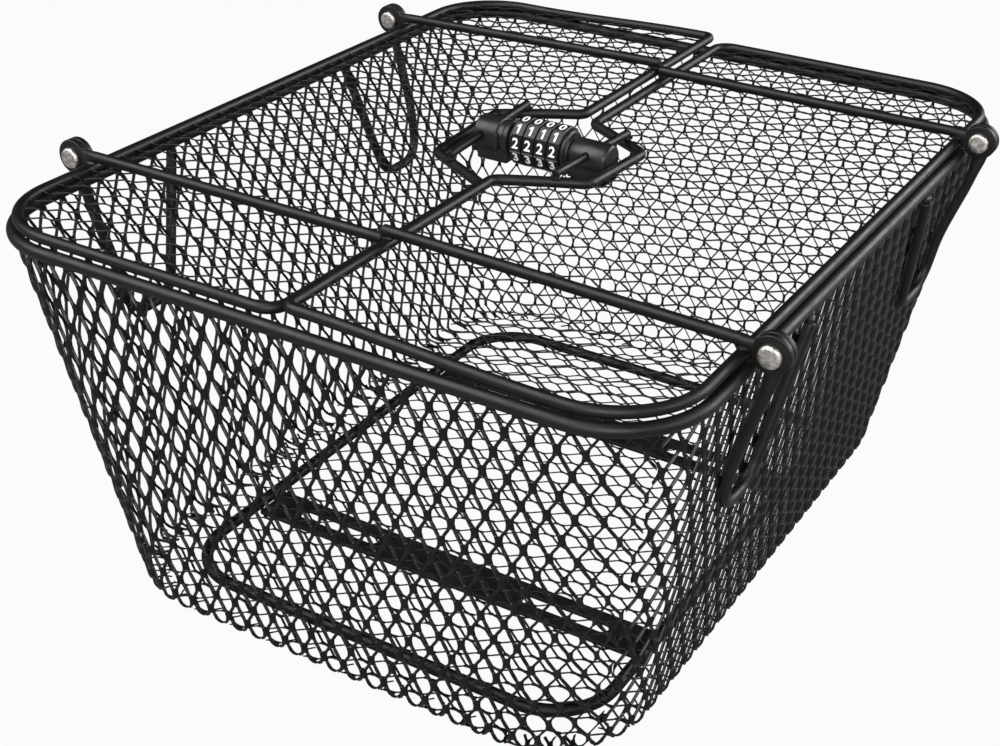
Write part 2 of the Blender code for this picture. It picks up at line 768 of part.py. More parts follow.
def make_rivet(side, end):
    half_stack = EYE_THICK + GAP / 2 + GAP
    middle = end * HINGE_Y
    head_face = middle - half_stack
    tail_face = middle + half_stack
    head = RIVET_HEAD / 2
    tail = RIVET_TAIL / 2
    shank = RIVET_SHANK / 2
    profile = [(head_face - RIVET_HEAD_THICK, 0), (head_face - RIVET_HEAD_THICK, head * 2 / 5),
               (head_face - RIVET_HEAD_THICK * 4 / 5, head * 4 / 5),
               (head_face - RIVET_HEAD_THICK * 2 / 5, head), (head_face, head), (head_face, shank),
               (tail_face, shank), (tail_face, tail), (tail_face + RIVET_TAIL_THICK / 2, tail),
               (tail_face + RIVET_TAIL_THICK, tail * 3 / 5), (tail_face + RIVET_TAIL_THICK, 0)]
    spot = Vector((side * HINGE_X, 0, HINGE_Z))
    body = lathe(profile, "Y", SMALL_ROUND_SIDES, spot)
    place = ("front" if end < 0 else "back") + "_" + lid_name(side)
    add_piece("hinge_rivet_" + place, body, STEEL)


def lock_bar_ends(side):
    """The short bar lies on the slanting wires of the bay."""
    share = (LOCK_BAR_X - SEAM_X) / (BAY_HALF_X - SEAM_X)
    reach = BAY_MOUTH_HALF_Y + (BAY_HALF_Y - BAY_MOUTH_HALF_Y) * share
    rest = LID_WIRE / 2 + LOCK_BAR_WIRE / 2 + GAP
    ends = []
    for end in (-1, 1):
        y = end * reach
        x = side * LOCK_BAR_X
        ends.append(Vector((x, y, lid_height(x, y, side) + rest)))
    return ends


def make_lock_bar(side, axis):
    body = tube(lock_bar_ends(side), LOCK_BAR_WIRE, Vector((0, 0, 1)), False)
    add_piece(lid_name(side) + "_lock_bar", body, WIRE_COAT, axis)


def bar_clearance(side):
    return tube(lock_bar_ends(side), LOCK_BAR_WIRE + 2 * SEAM_GAP, Vector((0, 0, 1)), False)


def make_lock_body(axis):
    centre = Vector((0, 0, LOCK_Z))
    shoulder = DIALS_RIGHT + LOCK_SHOULDER_LENGTH
    bore = PIN_RADIUS + PIN_BORE_GAP
    bore_end = CORE_LEFT + PIN_LENGTH + PIN_BORE_SPARE
    profile = [(bore_end, 0), (bore_end, bore), (CORE_LEFT, bore), (CORE_LEFT, LOCK_COLLAR_RADIUS),
               (DIALS_LEFT, LOCK_COLLAR_RADIUS), (DIALS_LEFT, CORE_RADIUS),
               (DIALS_RIGHT, CORE_RADIUS), (DIALS_RIGHT, LOCK_SHOULDER_RADIUS),
               (shoulder, LOCK_SHOULDER_RADIUS), (shoulder, LOCK_BARREL_RADIUS),
               (LOCK_END_X, LOCK_BARREL_RADIUS), (LOCK_END_X, 0)]
    body = lathe(profile, "X", ROUND_SIDES, centre)
    low = Vector((LOCK_END_X - LOCK_BLOCK_LENGTH - HEAD_BEVEL, -LOCK_BLOCK_HALF_WIDTH,
                  LOCK_Z - LOCK_BLOCK_DROP))
    high = Vector((LOCK_END_X - HEAD_BEVEL, LOCK_BLOCK_HALF_WIDTH, LOCK_Z - CORE_RADIUS / 3))
    body = union(body, box(low, high))
    body = cut(body, bar_clearance(1))
    add_piece("lock_body", body, LOCK_BLACK, axis)


def make_lock_head(axis):
    centre = Vector((0, 0, LOCK_Z))
    face = CORE_LEFT - SEAM_GAP
    neck = face - HEAD_NECK_LENGTH
    bore = PIN_RADIUS + PIN_BORE_GAP
    bore_end = face - PIN_TRAVEL - PIN_BORE_SPARE
    profile = [(-HEAD_END_X, 0), (-HEAD_END_X, HEAD_RADIUS - HEAD_BEVEL),
               (-HEAD_END_X + HEAD_BEVEL, HEAD_RADIUS), (neck, HEAD_RADIUS),
               (neck, HEAD_NECK_RADIUS), (face, HEAD_NECK_RADIUS), (face, bore),
               (bore_end, bore), (bore_end, 0)]
    body = lathe(profile, "X", ROUND_SIDES, centre)
    body = cut(body, bar_clearance(-1))
    add_piece("lock_head", body, LOCK_BLACK, axis)


def make_dials(lid_axis):
    inner = CORE_RADIUS + DIAL_BORE_GAP
    for index in range(DIAL_COUNT):
        middle = DIALS_LEFT + (index + 1 / 2) * DIAL_PITCH
        axis = add_axis("dial_axis_" + str(index + 1), Vector((middle, 0, LOCK_Z)), lid_axis)
        half = DIAL_WIDTH / 2
        edge = DIAL_WIDTH / 12
        profile = [(-half, inner), (-half, DIAL_RADIUS - edge), (-half + edge, DIAL_RADIUS),
                   (half - edge, DIAL_RADIUS), (half, DIAL_RADIUS - edge), (half, inner)]
        turn = math.pi / DIAL_FACES
        body = lathe(profile, "X", 2 * DIAL_FACES, place_of(axis), turn)
        add_piece("lock_dial_" + str(index + 1), body, DIAL_BLACK, axis)


def make_pin(axis):
    """The bolt, drawn back so that its tip is level with the lock body."""
    tip = CORE_LEFT + GAP
    edge = PIN_RADIUS / 4
    profile = [(tip, 0), (tip, PIN_RADIUS - edge), (tip + edge, PIN_RADIUS),
               (tip + PIN_LENGTH, PIN_RADIUS), (tip + PIN_LENGTH, 0)]
    centre = Vector((0, 0, LOCK_Z))
    body = lathe(profile, "X", SMALL_ROUND_SIDES, centre)
    add_piece("lock_pin", body, STEEL, axis)


def main():
    clear_scene()
    make_rings()
    make_walls()
    make_wall_corners()
    make_floor()
    make_plates()
    for side in (-1, 1):
        lid_axis = add_axis(lid_name(side) + "_lid_axis", Vector((side * HINGE_X, 0, HINGE_Z)))
        make_lid_frame(side, lid_axis)
        make_lid_net(side, lid_axis)
        make_lock_bar(side, lid_axis)
        for end in (-1, 1):
            make_lid_bar(side, end, lid_axis)
            make_side_loop(side, end)
            make_rivet(side, end)
        if side < 0:
            make_lock_head(lid_axis)
        else:
            make_lock_body(lid_axis)
            make_dials(lid_axis)
            make_pin(add_axis("pin_axis", Vector((CORE_LEFT, 0, LOCK_Z)), lid_axis))


main()
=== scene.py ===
"""Looks of a rear bicycle basket with two hinged lids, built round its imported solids. Metres."""
import math

import bmesh
import bpy
import numpy as np
from mathutils import Matrix, Vector


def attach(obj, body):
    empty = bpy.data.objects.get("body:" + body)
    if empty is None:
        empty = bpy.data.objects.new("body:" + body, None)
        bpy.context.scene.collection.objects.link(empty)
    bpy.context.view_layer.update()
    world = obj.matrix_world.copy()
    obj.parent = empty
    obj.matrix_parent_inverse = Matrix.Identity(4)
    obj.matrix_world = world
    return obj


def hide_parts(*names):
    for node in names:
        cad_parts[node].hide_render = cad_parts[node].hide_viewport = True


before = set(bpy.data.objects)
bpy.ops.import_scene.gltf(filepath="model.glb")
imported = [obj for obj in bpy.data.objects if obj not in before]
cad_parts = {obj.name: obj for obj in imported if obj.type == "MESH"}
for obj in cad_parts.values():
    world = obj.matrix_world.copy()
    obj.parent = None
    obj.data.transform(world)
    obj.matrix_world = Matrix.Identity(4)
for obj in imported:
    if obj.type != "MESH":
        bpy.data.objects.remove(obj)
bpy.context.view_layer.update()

MM = 0.001
X = Vector((1, 0, 0))
Z = Vector((0, 0, 1))

# Sizes that the solids have too
GAP = 0.0003
RIM_HALF = (0.164, 0.2005, 0.0407)
RIM_RADIUS = 0.003
FLOOR_HALF = (0.134, 0.178, 0.050)
BASE_HALF = (0.1127, 0.1487, 0.0324)
BASE_RADIUS = 0.003
NET_HALF_THICK = 0.0006
FLOOR_Z = 0.0069
RIM_Z = 0.1886
PLATE_OFFSET_Y = 0.080
PLATE_HALF_WIDTH = 0.011
PLATE_THICK = 0.002
SLOT_X = 0.066
SLOT_LENGTH = 0.048
SLOT_WIDTH = 0.0068
LID_Z = 0.1945
LID_RADIUS = 0.0025
LID_HALF_X = 0.1615
LID_HALF_Y = 0.198
LID_CORNER = 0.0382
LID_LIFT = 0.0039
LIFTED_CORNER = 0.0045
LOW_CORNER = 0.009
LIFT_END_SHARE = 0.75
SEAM_X = 0.0028
BAY_HALF_X = 0.041
BAY_HALF_Y = 0.0265
BAY_MOUTH = 0.048
BAY_CORNER = 0.006
BAR_RADIUS = 0.0025
HINGE_X = 0.173
HINGE_Y = 0.1275
HINGE_Z = 0.1971
EYE_THICK = 0.003
EYE_RADIUS = 0.0082
SHANK_RADIUS = 0.0025
LOOP_RADIUS = 0.0025
LOOP_ROOT_DROP = 0.0098
LOOP_SHOULDER_DROP = 0.027
LOOP_DEPTH = 0.083
LOOP_LEG_SHIFT = 0.0045
LOOP_INNER_Y = 0.072
LOCK_BAR_RADIUS = 0.002
LOCK_BAR_X = 0.028
LOCK_Z = 0.199
CORE_RADIUS = 0.0062
CORE_LEFT = -0.0133
DIAL_BORE = 0.0065
BOLT_RADIUS = 0.0023
BOLT_LENGTH = 0.022
BORE_RADIUS = BOLT_RADIUS + GAP

# Sizes of the looks alone: the dials stand a little wider apart than the solids
DIAL_PITCH = 0.0066
DIALS_LEFT = 0.0025 - 2 * DIAL_PITCH
DIALS_RIGHT = 0.0025 + 2 * DIAL_PITCH
DIAL_HALF_WIDTH = 0.00315
DIAL_FLAT = 0.0114
DIAL_ROUND = 0.0118
DIAL_SIDES = 120
DIGIT_SIZE = 0.0068
FACE_TURN = 2 * math.pi / 10
ZERO_ANGLE = math.radians(83.0)
FOLD_Z = 0.0097
FOLD_RADIUS = 0.004
HOLE_END_RADIUS = 0.0018

# Surfaces and light
COATING = (0.0035, 0.0035, 0.0037)
GLOSS_SCALE = 160.0
SCRATCH_SCALE = 260.0
BUMP_HEIGHT = 0.00006
AMBIENT = 0.0026


# Materials
def coat(name, colour, rough, peel, peel_scale=1400.0, specular=0.5, metallic=0.0, vary=0.25,
         vary_scale=45.0, scratch=0.0):
    """A procedural surface: peel and scratches in the bump, slow changes of colour and gloss."""
    m = bpy.data.materials.new(name)
    m.use_nodes = True
    tree = m.node_tree
    shader = tree.nodes["Principled BSDF"]
    shader.inputs["Metallic"].default_value = metallic
    shader.inputs["Specular IOR Level"].default_value = specular
    place = tree.nodes.new("ShaderNodeTexCoord").outputs["Object"]

    def noise(scale, detail, roughness=0.5, where=place):
        n = tree.nodes.new("ShaderNodeTexNoise")
        n.inputs["Scale"].default_value = scale
        n.inputs["Detail"].default_value = detail
        n.inputs["Roughness"].default_value = roughness
        tree.links.new(where, n.inputs["Vector"])
        return n.outputs["Fac"]

    def spread(value, low, high, start=0.3, stop=0.7):
        r = tree.nodes.new("ShaderNodeMapRange")
        r.inputs["From Min"].default_value = start
        r.inputs["From Max"].default_value = stop
        r.inputs["To Min"].default_value = low
        r.inputs["To Max"].default_value = high
        tree.links.new(value, r.inputs["Value"])
        return r.outputs["Result"]

    slow = noise(vary_scale, 3.0)
    mix = tree.nodes.new("ShaderNodeMix")
    mix.data_type = "RGBA"
    mix.inputs["A"].default_value = (*[c * (1 - vary) for c in colour], 1)
    mix.inputs["B"].default_value = (*[c * (1 + vary) for c in colour], 1)
    tree.links.new(spread(slow, 0, 1), mix.inputs["Factor"])
    height = noise(peel_scale, 2.0)
    rough_value = spread(noise(GLOSS_SCALE, 4.0), rough - 0.05, rough + 0.07)
    if scratch:
        stretch = tree.nodes.new("ShaderNodeMapping")
        stretch.inputs["Scale"].default_value = (1.0, 1.0, 14.0)
        stretch.inputs["Rotation"].default_value = (0.3, 0.9, 0.2)
        tree.links.new(place, stretch.inputs["Vector"])
        lines = noise(SCRATCH_SCALE, 5.0, 0.65, stretch.outputs["Vector"])
        total = tree.nodes.new("ShaderNodeMath")
        total.operation = "MULTIPLY_ADD"
        total.inputs[1].default_value = scratch
        tree.links.new(lines, total.inputs[0])
        tree.links.new(height, total.inputs[2])
        height = total.outputs["Value"]
        worn = tree.nodes.new("ShaderNodeMath")
        worn.operation = "ADD"
        tree.links.new(rough_value, worn.inputs[0])
        tree.links.new(spread(lines, -0.08, 0.16, 0.35, 0.65), worn.inputs[1])
        rough_value = worn.outputs["Value"]
    tree.links.new(mix.outputs["Result"], shader.inputs["Base Color"])
    tree.links.new(rough_value, shader.inputs["Roughness"])
    bump = tree.nodes.new("ShaderNodeBump")
    bump.inputs["Strength"].default_value = peel
    bump.inputs["Distance"].default_value = BUMP_HEIGHT
    tree.links.new(height, bump.inputs["Height"])
    tree.links.new(bump.outputs["Normal"], shader.inputs["Normal"])
    return m


WIRE = coat("wire_powder_coat", COATING, rough=0.46, peel=0.6, specular=0.38)
MESH = coat("mesh_powder_coat", COATING, rough=0.36, peel=0.5, specular=0.36)
PLATE = coat("plate_powder_coat", (0.014, 0.0135, 0.0135), rough=0.40, peel=0.5, specular=0.30,
             vary=0.35)
STEEL = coat("rivet_steel", (0.66, 0.62, 0.58), rough=0.34, peel=1.0, peel_scale=500.0,
             metallic=1.0, vary=0.5, vary_scale=620.0, scratch=3.0)
CASE = coat("lock_case_plastic", (0.012, 0.012, 0.0125), rough=0.38, peel=0.4, peel_scale=2600.0,
            specular=0.40)
BARREL = coat("lock_barrel_satin", (0.035, 0.034, 0.034), rough=0.34, peel=0.25,
              peel_scale=1800.0, metallic=0.55)
DIAL = coat("dial_plastic", (0.010, 0.010, 0.010), rough=0.34, peel=0.3, peel_scale=2600.0,
            specular=0.34)
DIGIT = coat("number_paint", (0.86, 0.86, 0.85), rough=0.45, peel=0.25, peel_scale=2000.0,
             vary=0.04)
PIN = coat("pin_steel", (0.62, 0.60, 0.58), rough=0.22, peel=0.3, metallic=1.0, vary=0.1,
           scratch=0.8)


# Building
def link(name, data):
    """A new object in the scene."""
    piece = bpy.data.objects.new(name, data)
    bpy.context.scene.collection.objects.link(piece)
    return piece


def as_mesh(body, name):
    """A mesh of a bmesh, with its faces outward; the bmesh is freed."""
    mesh = bpy.data.meshes.new(name)
    bmesh.ops.recalc_face_normals(body, faces=body.faces)
    body.to_mesh(mesh)
    body.free()
    return mesh


def shown_mesh(piece):
    """The mesh that an object shows; the object is removed."""
    bpy.context.view_layer.update()
    graph = bpy.context.evaluated_depsgraph_get()
    mesh = bpy.data.meshes.new_from_object(piece.evaluated_get(graph))
    bpy.data.objects.remove(piece, do_unlink=True)
    return mesh


def add(name, body_mesh, body, material, replaces=(), angle=40.0, smooth=True):
    """A piece of the scene from a mesh or a bmesh, riding a body."""
    mesh = as_mesh(body_mesh, name) if isinstance(body_mesh, bmesh.types.BMesh) else body_mesh
    mesh.materials.clear()
    mesh.materials.append(material)
    if smooth:
        mesh.shade_smooth()
        mesh.set_sharp_from_angle(angle=math.radians(angle))
    piece = link(name, mesh)
    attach(piece, body)
    if replaces:
        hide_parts(*replaces)


def rounded_path(corners, radii, steps, closed=True):
    """Corner points in order, each replaced by an arc of its own radius."""
    points = []
    count = len(corners)
    for i, corner in enumerate(corners):
        corner = Vector(corner)
        if (not closed and i in (0, count - 1)) or radii[i] <= 0:
            points.append(corner)
            continue
        before = (Vector(corners[i - 1]) - corner).normalized()
        after = (Vector(corners[(i + 1) % count]) - corner).normalized()
        half = before.angle(after) / 2
        centre = corner + (before + after).normalized() * (radii[i] / math.sin(half))
        start = corner + before * (radii[i] / math.tan(half)) - centre
        end = corner + after * (radii[i] / math.tan(half)) - centre
        turn = start.angle(end)
        for step in range(steps[i] + 1):
            part = step / steps[i]
            point = start * math.sin((1 - part) * turn) + end * math.sin(part * turn)
            points.append(centre + point / math.sin(turn))
    return points


def rounded_rectangle(half_x, half_y, radius, steps):
    points = []
    for quarter in range(4):
        side_x = 1 if quarter in (0, 1) else -1
        side_y = 1 if quarter in (1, 2) else -1
        start = math.pi / 2 * (quarter - 1)
        for step in range(steps + 1):
            angle = start + math.pi / 2 * step / steps
            points.append((side_x * (half_x - radius) + radius * math.cos(angle),
                           side_y * (half_y - radius) + radius * math.sin(angle)))
    return points


def split_long(points, longest, closed=True):
    """The same path with its long spans split."""
    result = []
    last = len(points) if closed else len(points) - 1
    for i in range(last):
        a, b = Vector(points[i]), Vector(points[(i + 1) % len(points)])
        pieces = max(1, math.ceil((b - a).length / longest))
        result += [a.lerp(b, p / pieces) for p in range(pieces)]
    if not closed:
        result.append(Vector(points[-1]))
    return result


def ring_share(side, sides, power):
    """Cosine and sine at one side of a ring, which is fuller than a circle at powers above 2."""
    a = 2 * math.pi * (side + 0.5) / sides
    c, s = math.cos(a), math.sin(a)
    return math.copysign(abs(c) ** (2 / power), c), math.copysign(abs(s) ** (2 / power), s)


def skin(body, rings, closed=False):
    """Faces between rings of points; a ring of one point is a tip, and open ends get a face."""
    for i in range(len(rings) if closed else len(rings) - 1):
        first, second = rings[i], rings[(i + 1) % len(rings)]
        sides = max(len(first), len(second))
        for side in range(sides):
            nxt = (side + 1) % sides
            if len(first) == 1:
                body.faces.new((first[0], second[side], second[nxt]))
            elif len(second) == 1:
                body.faces.new((first[side], first[nxt], second[0]))
            else:
                body.faces.new((first[side], first[nxt], second[nxt], second[side]))
    if not closed and len(rings[0]) > 1:
        body.faces.new(rings[0][::-1])
        body.faces.new(rings[-1])


def rounded_ends(stations, end_round):
    """Stations with shrinking ones added past both ends."""
    for end, sign in ((0, -1), (-1, 1)):
        point, along, size = stations[end]
        extra = []
        for turn in (30, 60, 80):
            a = math.radians(turn)
            shrink = 1 - end_round * (1 - math.cos(a))
            extra.append([point + along * (sign * end_round * size[0] * math.sin(a)), along,
                          (size[0] * shrink, size[1] * shrink)])
        stations = extra[::-1] + stations if end == 0 else stations + extra
    return stations


def sweep(points, sizes, up, closed=False, sides=20, end_round=0.0, power=2.0):
    """A wire along points; sizes is one radius, or half sizes (across, over) for each point."""
    points = [Vector(p) for p in points]
    count = len(points)
    if not isinstance(sizes, list):
        sizes = [(sizes, sizes)] * count
    stations = []
    for i, point in enumerate(points):
        before = points[i - 1] if closed or i > 0 else point
        after = points[(i + 1) % count] if closed or i < count - 1 else point
        along = ((point - before).normalized() + (after - point).normalized()).normalized()
        stations.append([point, along, sizes[i]])
    if not closed and end_round:
        stations = rounded_ends(stations, end_round)
    body = bmesh.new()
    rings = []
    for point, along, size in stations:
        across = up.cross(along).normalized()
        over = along.cross(across)
        ring = []
        for side in range(sides):
            c, s = ring_share(side, sides, power)
            ring.append(body.verts.new(point + across * (c * size[0]) + over * (s * size[1])))
        rings.append(ring)
    skin(body, rings, closed)
    return body


def lathe(profile, axis, centre, sides, wobble=None):
    """Turns (along, radius) points round X or Y through centre; ends on the axis or closes."""
    body = bmesh.new()
    rings = []
    for along, radius in profile:
        ring = []
        for side in range(1 if radius == 0 else sides):
            a = 2 * math.pi * side / sides
            r = radius * (wobble(a, along) if wobble else 1)
            spot = (along, r * math.cos(a), r * math.sin(a))
            if axis == "Y":
                spot = (spot[1], spot[0], spot[2])
            ring.append(body.verts.new(centre + Vector(spot)))
        rings.append(ring)
    skin(body, rings, closed=profile[0][1] > 0)
    return body


def lock_shell(stations, sides=64):
    """A body round the lock's axis; each station is (x, half size, power), power 2 being round."""
    body = bmesh.new()
    rings = []
    for x, half, power in stations:
        ring = []
        for side in range(sides):
            c, s = ring_share(side, sides, power)
            ring.append(body.verts.new((x, half * c, LOCK_Z + half * s)))
        rings.append(ring)
    skin(body, rings)
    return body


def join(bodies):
    """One bmesh of several closed bodies."""
    first = bodies[0]
    for other in bodies[1:]:
        mesh = as_mesh(other, "part")
        first.from_mesh(mesh)
        bpy.data.meshes.remove(mesh)
    return first


def rounded_box(low, high, edge, steps=3):
    body = bmesh.new()
    bmesh.ops.create_cube(body, size=1.0)
    size = Vector(high) - Vector(low)
    middle = (Vector(high) + Vector(low)) / 2
    for v in body.verts:
        v.co = v.co * size + middle
    bmesh.ops.bevel(body, geom=list(body.edges), offset=edge, segments=steps, profile=0.5,
                    affect="EDGES")
    return body


def prism(body, outline, low, high):
    """Adds an upright body on a flat outline to a bmesh."""
    skin(body, [[body.verts.new((x, y, z)) for x, y in outline] for z in (low, high)])


def weld(centre, size, seed):
    """A small lumpy weld nugget."""
    body = bmesh.new()
    bmesh.ops.create_icosphere(body, subdivisions=3, radius=1.0)
    for v in body.verts:
        n = v.co.copy()
        lump = 0.10 * math.sin(5 * n.x + seed) * math.cos(4 * n.y + 2 * seed)
        lump += 0.06 * math.sin(9 * n.z + 3 * seed + 4 * n.x)
        v.co = Vector(centre) + n * Vector(size) * (1 + lump)
    return body


# Expanded metal
def hole_shape(part, level, power):
    """Half width of a hole, as a share of its greatest, at part of its half length: the sides are
    level beside a joint, and then run straight to the tip."""
    soft = 0.10

    def ramp(p):
        return (p - level + math.hypot(p - level, soft)) / 2

    run = (ramp(part) - ramp(0)) / (ramp(1) - ramp(0))
    return max(0.0, 1 - run) ** power


def round_end(q):
    """Half width of a hole's rounded end, q from its tip. Beyond that end it limits nothing."""
    unlimited = 1.0
    return math.sqrt(q * (2 * HOLE_END_RADIUS - q)) if q < HOLE_END_RADIUS else unlimited


def sheet_rows(low, high, half, joint, curve):
    """Rows of points across a sheet, each with its distance from the nearest even row of joints.
    Beyond a hole's middle, curve's last row is left out: the sides are nearly straight there."""
    offsets = [0, joint] + [joint + c for c in curve] + [half / 2]
    offsets += [half - o for o in offsets[-3:0:-1]]
    rows = []
    for j in range(math.floor(low / half) - 1, math.ceil(high / half) + 2):
        for offset in offsets:
            rows.append((j * half + offset, offset if j % 2 == 0 else half - offset))
    return rows


def strand_section(a, thick, joined):
    """Corners of a strand's bevelled section of half width a. joined is 1 or -1 where the right or
    the left edge is one with the next strand, and so has no bevel."""
    b = thick / 2
    c = 0.3 * thick
    section = [(a, b - c), (a - c, b), (-a + c, b), (-a, b - c),
               (-a, -b + c), (-a + c, -b), (a - c, -b), (a, -b + c)]
    if joined == 1:
        return [(a, b), (a, b)] + section[2:6] + [(a, -b), (a, -b)]
    if joined == -1:
        return section[:2] + [(-a, b), (-a, b), (-a, -b), (-a, -b)] + section[6:]
    return section


def strand_sheet(name, outline, origin, pitch, period, strand, tilt, thick, joint, curve):
    """A flat sheet of strands along v that covers outline, as one mesh."""
    margin = 0.002
    tip_reach = 0.74 * HOLE_END_RADIUS
    level_share = 0.85
    same_point = 2e-7
    corners = 8
    us = [p[0] for p in outline]
    vs = [p[1] for p in outline]
    gap = pitch / 2
    first = math.floor((min(us) - margin - origin[0]) / gap) - 1
    last = math.ceil((max(us) + margin - origin[0]) / gap) + 1
    half = period / 2
    hole = half - joint + tip_reach
    level = level_share * joint / hole
    widest = gap - strand[0] * math.cos(tilt)
    rise = strand[0] * math.sin(tilt) / widest
    middle = (gap - strand[1] * math.cos(tilt)) / (2 * widest)
    power = math.log(middle) / math.log(hole_shape(half / 2 / hole, level, 1))
    tip = (half - joint) / hole - 0.0001

    def cut(part):
        """How far a hole reaches into a strand's half of the pitch."""
        if part > tip:
            return 0.0
        return min(widest * hole_shape(part, level, power), round_end((tip - part) * hole))

    rows = sheet_rows(min(vs) - origin[1] - margin, max(vs) - origin[1] + margin, half, joint,
                      curve)
    verts, faces = [], []
    for k in range(first, last + 1):
        base = len(verts)
        joins = []
        centre = origin[0] + k * gap
        for v, along in rows:
            right_part, left_part = (half - along) / hole, along / hole
            if k % 2:
                right_part, left_part = left_part, right_part
            joined = 1 if right_part > tip else -1 if left_part > tip else 0
            if (joined == 1 and k == last) or (joined == -1 and k == first):
                joined = 0
            cut_right, cut_left = cut(right_part), cut(left_part)
            right = Vector((centre + gap / 2 - cut_right, rise * cut_right))
            left = Vector((centre - gap / 2 + cut_left, -rise * cut_left))
            mid = (right + left) / 2
            s = (right - left).normalized()
            for p, q in strand_section((right - left).length / 2, thick, joined):
                verts.append((mid.x + p * s.x - q * s.y, origin[1] + v, mid.y + p * s.y + q * s.x))
            joins.append(joined)
        for i in range(len(rows) - 1):
            lower, upper = base + corners * i, base + corners * (i + 1)
            closed_side = joins[i] if joins[i] == joins[i + 1] else 0
            skipped = {1: (6, 7, 0), -1: (2, 3, 4), 0: ()}[closed_side]
            for q in range(corners):
                if q not in skipped:
                    r = (q + 1) % corners
                    faces.append((lower + q, upper + q, upper + r, lower + r))
        faces.append(tuple(base + q for q in range(corners)))
        top = base + corners * (len(rows) - 1)
        faces.append(tuple(top + q for q in reversed(range(corners))))
    mesh = bpy.data.meshes.new(name)
    mesh.from_pydata(verts, [], faces)
    body = bmesh.new()
    body.from_mesh(mesh)
    bmesh.ops.remove_doubles(body, verts=body.verts, dist=same_point)
    body.to_mesh(mesh)
    body.free()
    return mesh


def cut_to_outline(sheet_mesh, outline):
    """The part of a flat sheet that lies inside outline."""
    reach = 0.006
    body = bmesh.new()
    prism(body, outline, -reach, reach)
    cutter_mesh = as_mesh(body, "outline")
    cutter = link("outline", cutter_mesh)
    sheet = link("sheet", sheet_mesh)
    cut = sheet.modifiers.new("cut", "BOOLEAN")
    cut.operation = "INTERSECT"
    cut.solver = "MANIFOLD"
    cut.object = cutter
    result = shown_mesh(sheet)
    bpy.data.objects.remove(cutter, do_unlink=True)
    bpy.data.meshes.remove(sheet_mesh)
    bpy.data.meshes.remove(cutter_mesh)
    return result


def drop_crumbs(mesh, least=150):
    """Deletes the loose bodies of fewer points than least that an outline cuts off."""
    body = bmesh.new()
    body.from_mesh(mesh)
    left = set(body.verts)
    crumbs = []
    for start in body.verts:
        if start not in left:
            continue
        left.remove(start)
        group, stack = [start], [start]
        while stack:
            v = stack.pop()
            for edge in v.link_edges:
                other = edge.other_vert(v)
                if other in left:
                    left.remove(other)
                    group.append(other)
                    stack.append(other)
        if len(group) < least:
            crumbs += group
    bmesh.ops.delete(body, geom=crumbs, context="VERTS")
    body.to_mesh(mesh)
    body.free()


def expanded(name, outline, place, pitch, period, strand, tilt, thick, joint, origin=(0.0, 0.0),
             flip=False, curve=(0.15, 0.6, 1.4)):
    """Expanded metal, cut to outline and mapped from flat by place(u, v, n). The sizes after place
    are in millimetres and degrees: pitch across and period along the strands, a strand's width at
    a joint and at mid leg, its tilt and thickness, the half length of a joint, the middle of a
    joint, and the rows of points past a hole's tip."""
    flat = strand_sheet(name, outline, [o * MM for o in origin], pitch * MM, period * MM,
                        [w * MM for w in strand], math.radians(tilt), thick * MM, joint * MM,
                        [c * MM for c in curve])
    mesh = cut_to_outline(flat, outline)
    drop_crumbs(mesh)
    co = np.zeros(len(mesh.vertices) * 3, np.float32)
    mesh.vertices.foreach_get("co", co)
    co = co.reshape(-1, 3).astype(float)
    moved = place(co[:, 0], co[:, 1], co[:, 2])
    mesh.vertices.foreach_set("co", moved.astype(np.float32).ravel())
    if flip:
        mesh.flip_normals()
    mesh.update()
    return mesh


# Walls and floor
def wall_section(z):
    """Half sizes and corner radius of the walls' outline at height z."""
    share = (z - FLOOR_Z) / (RIM_Z - FLOOR_Z)
    return [f + (r - f) * share for f, r in zip(FLOOR_HALF, RIM_HALF)]


def wall_place(quarter):
    """Maps arc length from a wall's middle, height and outward offset into space. Below FOLD_Z the
    sheet bends inward under the floor."""
    def place(u, v, n):
        below = np.clip((FOLD_Z - v) / FOLD_RADIUS, 0, math.pi / 2)
        extra = np.clip(FOLD_Z - v - FOLD_RADIUS * math.pi / 2, 0, None)
        half = wall_section(np.maximum(v, FOLD_Z))
        z = np.maximum(v, FOLD_Z) - FOLD_RADIUS * np.sin(below) - n * np.sin(below)
        out = n * np.cos(below) - FOLD_RADIUS * (1 - np.cos(below)) - extra
        along, across = (half[0], half[1]) if quarter % 2 == 0 else (half[1], half[0])
        radius = half[2]
        straight = along - radius
        angle = np.clip((np.abs(u) - straight) / radius, 0, None)
        flat = np.minimum(np.abs(u), straight)
        a = np.sign(u) * (flat + (radius + out) * np.sin(angle))
        c = across - radius + (radius + out) * np.cos(angle)
        turn = quarter * math.pi / 2
        x = a * math.cos(turn) + c * math.sin(turn)
        y = a * math.sin(turn) - c * math.cos(turn)
        return np.stack([x, y, z], 1)
    return place


def wall_outline(quarter, seam, low, high, steps):
    """Flat outline of a wall's sheet, which reaches seam radians round each corner."""
    points = []
    for sign in (1, -1):
        for step in range(steps + 1):
            part = step / steps if sign > 0 else 1 - step / steps
            z = low + (high - low) * part
            half = wall_section(max(z, FOLD_Z))
            along = half[0] if quarter % 2 == 0 else half[1]
            points.append((sign * (along - half[2] + half[2] * seam), z))
    return points


